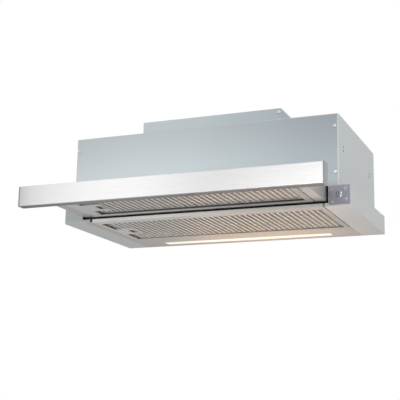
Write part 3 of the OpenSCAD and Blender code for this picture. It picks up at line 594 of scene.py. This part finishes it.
def slotted_sheet(name, cassette):
    """Expanded sheet: columns of pointed slots, staggered from column to column.

    Every strand between two slots is turned a little, and the latch case's place is left open.
    """
    left, right, front, back = cassette.mesh_window
    columns = round((right - left) / PITCH_X)
    rows = round((back - front) / PITCH_Y)
    step_x = (right - left) / columns
    step_y = (back - front) / rows
    build = bmesh.new()

    def vertex(x, y, rise=0.0):
        return build.verts.new((x * MM, min(max(y, front), back) * MM, (cassette.mesh_z + rise) * MM))

    def face(*corners):
        kept = []
        for corner in corners:
            if corner not in kept:
                kept.append(corner)
        middle = sum((c.co for c in kept), Vector()) / len(kept) / MM
        if len(kept) > 2 and not in_notch(middle, cassette.notch):
            build.faces.new(kept)

    def slot(centre, y):
        """The front and the back edge of a slot, which meet at its tips."""
        near, far = [], []
        for share, opening in SLOT_SHARES:
            x = centre + share * SLOT_LENGTH
            near.append(vertex(x, y - opening * SLOT_HALF, opening * STRAND_TURN))
            far.append(vertex(x, y + opening * SLOT_HALF, -opening * STRAND_TURN) if opening else near[-1])
        return near, far

    def lace(lefts, rights):
        """Triangles that join two lines of tips from front to back."""
        i = j = 0
        while i < len(lefts) - 1 or j < len(rights) - 1:
            rights_done = j == len(rights) - 1
            if rights_done or (i < len(lefts) - 1 and lefts[i + 1].co.y <= rights[j + 1].co.y):
                face(lefts[i], rights[j], lefts[i + 1])
                i += 1
            else:
                face(lefts[i], rights[j], rights[j + 1])
                j += 1

    tips = []
    for column in range(columns):
        centre = left + (column + 0.5) * step_x
        shift = 0.5 * (column % 2)
        slots = [slot(centre, front + (row + 0.5 + shift) * step_y) for row in range(-1, rows + 1)]
        for (_, below), (above, _) in zip(slots, slots[1:]):
            for k in range(len(SLOT_SHARES) - 1):
                face(below[k], below[k + 1], above[k + 1], above[k])
        tips.append(([near[0] for near, _ in slots], [near[-1] for near, _ in slots]))

    lace([vertex(left, tip.co.y / MM) for tip in tips[0][0]], tips[0][0])
    for here, there in zip(tips, tips[1:]):
        lace(here[1], there[0])
    lace(tips[-1][1], [vertex(right, tip.co.y / MM) for tip in tips[-1][1]])
    bmesh.ops.dissolve_degenerate(build, dist=WELD * MM, edges=build.edges)
    loose = [v for v in build.verts if not v.link_faces]
    bmesh.ops.delete(build, geom=loose, context="VERTS")
    return meshed(name, build)


def foil_pad(name, cassette):
    """Folded expanded foil behind the mesh: one zigzag sheet, cut out round the latch case.

    Its folds cross the columns of slots.
    """
    left, right, front, back = cassette.foil_window
    notch = cassette.notch
    fold = Vector((1 / FOLD_X, 1 / FOLD_Y))
    across = fold.normalized()
    along = Vector((-across.y, across.x))
    middle = Vector(((left + right) / 2, (front + back) / 2))
    reach = math.hypot(right - left, back - front) / 2
    half = 0.5 / fold.length
    count = math.ceil(reach / half)
    build = bmesh.new()
    lines = []
    for k in range(-count, count + 1):
        centre = middle + across * (k * half)
        z = cassette.foil_z[k % 2]
        ends = [centre - along * reach, centre + along * reach]
        lines.append([build.verts.new((end.x * MM, end.y * MM, z * MM)) for end in ends])
    for (a, b), (c, d) in zip(lines, lines[1:]):
        build.faces.new((a, b, d, c))

    def cut(point, normal, clear):
        bmesh.ops.bisect_plane(build, geom=build.verts[:] + build.edges[:] + build.faces[:],
                               plane_co=(point[0] * MM, point[1] * MM, 0), plane_no=(*normal, 0),
                               clear_outer=clear)

    for corner, normal in (((left, front), (-1, 0)), ((right, front), (1, 0)),
                           ((left, front), (0, -1)), ((left, back), (0, 1))):
        cut(corner, normal, True)
    for corner, normal in (((notch[1], 0), (1, 0)), ((0, notch[2]), (0, 1)), ((0, notch[3]), (0, 1))):
        cut(corner, normal, False)
    inside = [f for f in build.faces if in_notch(f.calc_center_median() / MM, notch)]
    bmesh.ops.delete(build, geom=inside, context="FACES")
    return meshed(name, build)


def filters():
    """Puts the expanded sheet and the foil of each cassette in the place of its mesh and its pad."""
    for cassette in (LOWER, UPPER):
        side, body = cassette.side, cassette.body
        name = side + "_mesh_sheet"
        sheet = piece(name, slotted_sheet(name, cassette), MESH_LOOKS[side], body)
        thicken(sheet, SHEET_WALL)
        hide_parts(side + "_filter_mesh")
        name = side + "_foil"
        foil = piece(name, foil_pad(name, cassette), foil_metal(cassette), body)
        thicken(foil, FOIL_WALL)
        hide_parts(side + "_filter_pad")


# Marks of the touch panel, from the middle of the glass

GLASS_LOW, GLASS_HIGH = (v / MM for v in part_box("touch_glass"))
GLASS_MIDDLE = (GLASS_LOW + GLASS_HIGH) / 2
PROUD = 0.06
DIGIT_Z = 0.5
DIGIT_HALF = 4.8
DIGIT_SLANT = 0.12
STROKE = 1.7
LEVEL_HALF = 1.4
UNLIT_X = -4.1
UNLIT_SIDE = 2.1
UNLIT_GAP = 0.6
LIT_X = 2.5
LIT_SIDE = 0.6
LIT_GAP = 0.5
LINE = 0.7
POWER_PLACE = (11.9, 11.2)
POWER_RADIUS = 2.4
POWER_TAIL = 3.4
FILTER_PLACE = (-14.3, 10.4)
FILTER_HALF = 2.2
FILTER_STEP = 2.0
FILTER_LINE = 0.9
TIMER_PLACE = (-12.9, -12.8)
LAMP_PLACE = (13.1, -8.8)
DOT_RADIUS = 1.5
FOOT_HALF = 1.0
FOOT_DROP = 3.0
FOOT_LINE = 0.8
RAY_START = 2.3
RAY_END = 3.3
RAY_LINE = 0.6
RAY_DEGREES = (10, 50, 90, 130, 170)


def plate(name, outlines, look):
    """Flat shapes a little proud of the touch glass, from outlines of (x, z) points."""
    build = bmesh.new()
    face_y = GLASS_LOW.y - PROUD
    for points in outlines:
        corners = [((GLASS_MIDDLE.x + x) * MM, face_y * MM, (GLASS_MIDDLE.z + z) * MM) for x, z in points]
        top = build.faces.new([build.verts.new(corner) for corner in corners])
        raised = bmesh.ops.extrude_face_region(build, geom=[top])
        for v in raised["geom"]:
            if isinstance(v, bmesh.types.BMVert):
                v.co.y += PROUD * MM
    piece(name, meshed(name, build), look, "housing")


def ring(cx, cz, r, width, steps=28):
    """A ring, as four-sided outlines."""
    turns = [2 * math.pi * k / steps for k in range(steps + 1)]
    inner, outer = r - width / 2, r + width / 2
    return [[(cx + reach * math.cos(turn), cz + reach * math.sin(turn))
             for reach, turn in ((inner, a), (outer, a), (outer, b), (inner, b))]
            for a, b in zip(turns, turns[1:])]


def disc(cx, cz, r, steps=20):
    """A round outline."""
    turns = [2 * math.pi * k / steps for k in range(steps)]
    return [(cx + r * math.cos(turn), cz + r * math.sin(turn)) for turn in turns]


def bar(x0, z0, x1, z1, width):
    """A bar from one point to another."""
    start, end = Vector((x0, z0)), Vector((x1, z1))
    along = (end - start).normalized() * width / 2
    side = Vector((-along.y, along.x))
    return [tuple(start - side), tuple(end - side), tuple(end + side), tuple(start + side)]


def uprights(x, gap):
    """The two uprights of a digit, one over the other, as (x0, z0, x1, z1)."""
    return [(x, gap, x, DIGIT_HALF), (x, -DIGIT_HALF, x, -gap)]


def digit(cx, segments):
    """The slanted bars of a digit."""
    return [bar(cx + x0 + DIGIT_SLANT * z0, DIGIT_Z + z0, cx + x1 + DIGIT_SLANT * z1, DIGIT_Z + z1, STROKE)
            for x0, z0, x1, z1 in segments]


def touch_panel():
    """Two generic digits and four plain symbols."""
    soft_white = glowing("symbol_white", (0.48, 0.50, 0.53), (0.75, 0.78, 0.82), 0.16)
    lit_white = glowing("digit_lit", (0.6, 0.6, 0.68), (0.92, 0.92, 1.0), 0.55)
    red = glowing("symbol_red", (0.42, 0.26, 0.34), (0.75, 0.45, 0.6), 0.12)
    unlit = moulded("digit_unlit", (0.14, 0.145, 0.17), 0.2, 2, 0.002)

    levels = [(-LEVEL_HALF, z, LEVEL_HALF, z) for z in (DIGIT_HALF, 0, -DIGIT_HALF)]
    whole = uprights(-UNLIT_SIDE, UNLIT_GAP) + levels + uprights(UNLIT_SIDE, UNLIT_GAP)
    plate("digit_unlit", digit(UNLIT_X, whole), unlit)
    plate("digit_lit", digit(LIT_X, uprights(LIT_SIDE, LIT_GAP)), lit_white)

    x, z = POWER_PLACE
    power = ring(x, z, POWER_RADIUS, LINE) + [bar(x, z, x, z + POWER_TAIL, LINE)]
    plate("symbol_power", power, soft_white)
    x, z = FILTER_PLACE
    lines = [bar(x - FILTER_HALF, z + rise, x + FILTER_HALF, z + rise, FILTER_LINE)
             for rise in (-FILTER_STEP, 0, FILTER_STEP)]
    plate("symbol_filter", lines, red)
    plate("symbol_timer", [disc(*TIMER_PLACE, DOT_RADIUS)], soft_white)
    x, z = LAMP_PLACE
    foot = z - FOOT_DROP
    lamp = [disc(x, z, DOT_RADIUS), bar(x - FOOT_HALF, foot, x + FOOT_HALF, foot, FOOT_LINE)]
    for degrees in RAY_DEGREES:
        turn = math.radians(degrees)
        ends = [(x + reach * math.cos(turn), z + reach * math.sin(turn)) for reach in (RAY_START, RAY_END)]
        lamp.append(bar(*ends[0], *ends[1], RAY_LINE))
    plate("symbol_lamp", lamp, soft_white)


# Stage, light and camera, in metres

FLOOR_Z = -2.6
FLOOR_RADIUS = 80.0
FLOOR_COLOUR = (0.92, 0.92, 0.92)
FLOOR_GRAIN = 900.0
WORLD_LEVEL = 0.54
# Each lamp: name, place, target, size, power in watts, colour
LAMPS = [
    ("front", (0.35, -2.8, 0.05), (0.0, -0.06, 0.08), (1.5, 0.36), 26.6, (1, 1, 1)),
    ("right", (2.6, -0.5, 0.5), (0.2, 0.1, 0.1), (1.4, 1.4), 13.6, (1, 0.99, 0.98)),
    ("left", (-3.2, 0.2, 0.8), (-0.2, 0.1, 0.1), (1.4, 1.4), 16, (0.97, 0.99, 1)),
    ("below", (0.1, 0.0, -0.8), (0.1, 0.0, 0), (0.8, 0.5), 1.1, (1, 0.87, 0.76)),
    ("hob", (0.36, -0.11, -0.22), (0.36, -0.11, 0), (0.2, 0.2), 0.23, (1, 0.92, 0.84)),
    ("glow", (0.05, 0.18, -0.09), (0.05, 0.18, 0), (0.32, 0.05), 0.2, (1, 0.60, 0.32)),
    ("back", (-0.6, 3.0, 1.0), (0.0, 0.15, 0.1), (1.4, 1.4), 15, (1, 1, 1)),
    ("fill", (-1.6, -1.8, -0.2), (-0.2, -0.06, 0), (0.6, 0.6), 1.2, (1, 1, 1)),
]
CAMERA_PLACE = (0.7109, -1.7559, -0.3873)
CAMERA_RIGHT = (0.9238, 0.3825, 0.0183)
CAMERA_AHEAD = (-0.3768, 0.8994, 0.2216)
FOCAL_MM = 86.948
SENSOR_MM = 36.0


def pale_floor():
    """A plain floor, wide and low enough to stay behind the object in every view."""
    bpy.ops.mesh.primitive_circle_add(vertices=64, radius=FLOOR_RADIUS, fill_type="NGON",
                                      location=(0, 0, FLOOR_Z))
    floor = bpy.context.active_object
    floor.name = "floor"
    look = Look("pale_floor", FLOOR_COLOUR, 0.7)
    look.tint(look.noise(FLOOR_GRAIN, 2), 0.01)
    floor.data.materials.append(look.material)


def white_world():
    """A world that is white to the camera and in reflections, and lights at a lower level."""
    world = bpy.data.worlds.new("studio")
    bpy.context.scene.world = world
    world.use_nodes = True
    tree = world.node_tree
    background = tree.nodes["Background"]
    path = tree.nodes.new("ShaderNodeLightPath")
    seen = path.outputs["Is Camera Ray"]
    for name in ("Is Glossy Ray", "Is Transmission Ray"):
        either = tree.nodes.new("ShaderNodeMath")
        either.operation = "MAXIMUM"
        tree.links.new(seen, either.inputs[0])
        tree.links.new(path.outputs[name], either.inputs[1])
        seen = either.outputs["Value"]
    level = tree.nodes.new("ShaderNodeMapRange")
    level.inputs["To Min"].default_value = WORLD_LEVEL
    level.inputs["To Max"].default_value = 1.0
    tree.links.new(seen, level.inputs["Value"])
    background.inputs["Color"].default_value = (1, 1, 1, 1)
    tree.links.new(level.outputs["Result"], background.inputs["Strength"])


def lamps():
    """Soft studio lamps, which the camera doesn't see."""
    for name, place, target, size, power, colour in LAMPS:
        data = bpy.data.lights.new(name, "AREA")
        data.shape = "RECTANGLE"
        data.size, data.size_y = size
        data.energy = power
        data.color = colour
        lamp = bpy.data.objects.new(name, data)
        lamp.location = place
        lamp.rotation_euler = (Vector(target) - Vector(place)).to_track_quat("-Z", "Y").to_euler()
        lamp.visible_camera = False
        bpy.context.scene.collection.objects.link(lamp)


def camera():
    """The photo's camera."""
    data = bpy.data.cameras.new("camera")
    data.sensor_width = SENSOR_MM
    data.lens = FOCAL_MM
    right = Vector(CAMERA_RIGHT).normalized()
    ahead = Vector(CAMERA_AHEAD).normalized()
    up = right.cross(ahead)
    turn = Matrix((right, up, -ahead)).transposed().to_4x4()
    shape = bpy.data.objects.new("camera", data)
    shape.matrix_world = Matrix.Translation(CAMERA_PLACE) @ turn
    bpy.context.scene.collection.objects.link(shape)
    bpy.context.scene.camera = shape
    bpy.context.scene.view_settings.view_transform = "Standard"


dress()
filters()
touch_panel()
pale_floor()
white_world()
lamps()
camera()
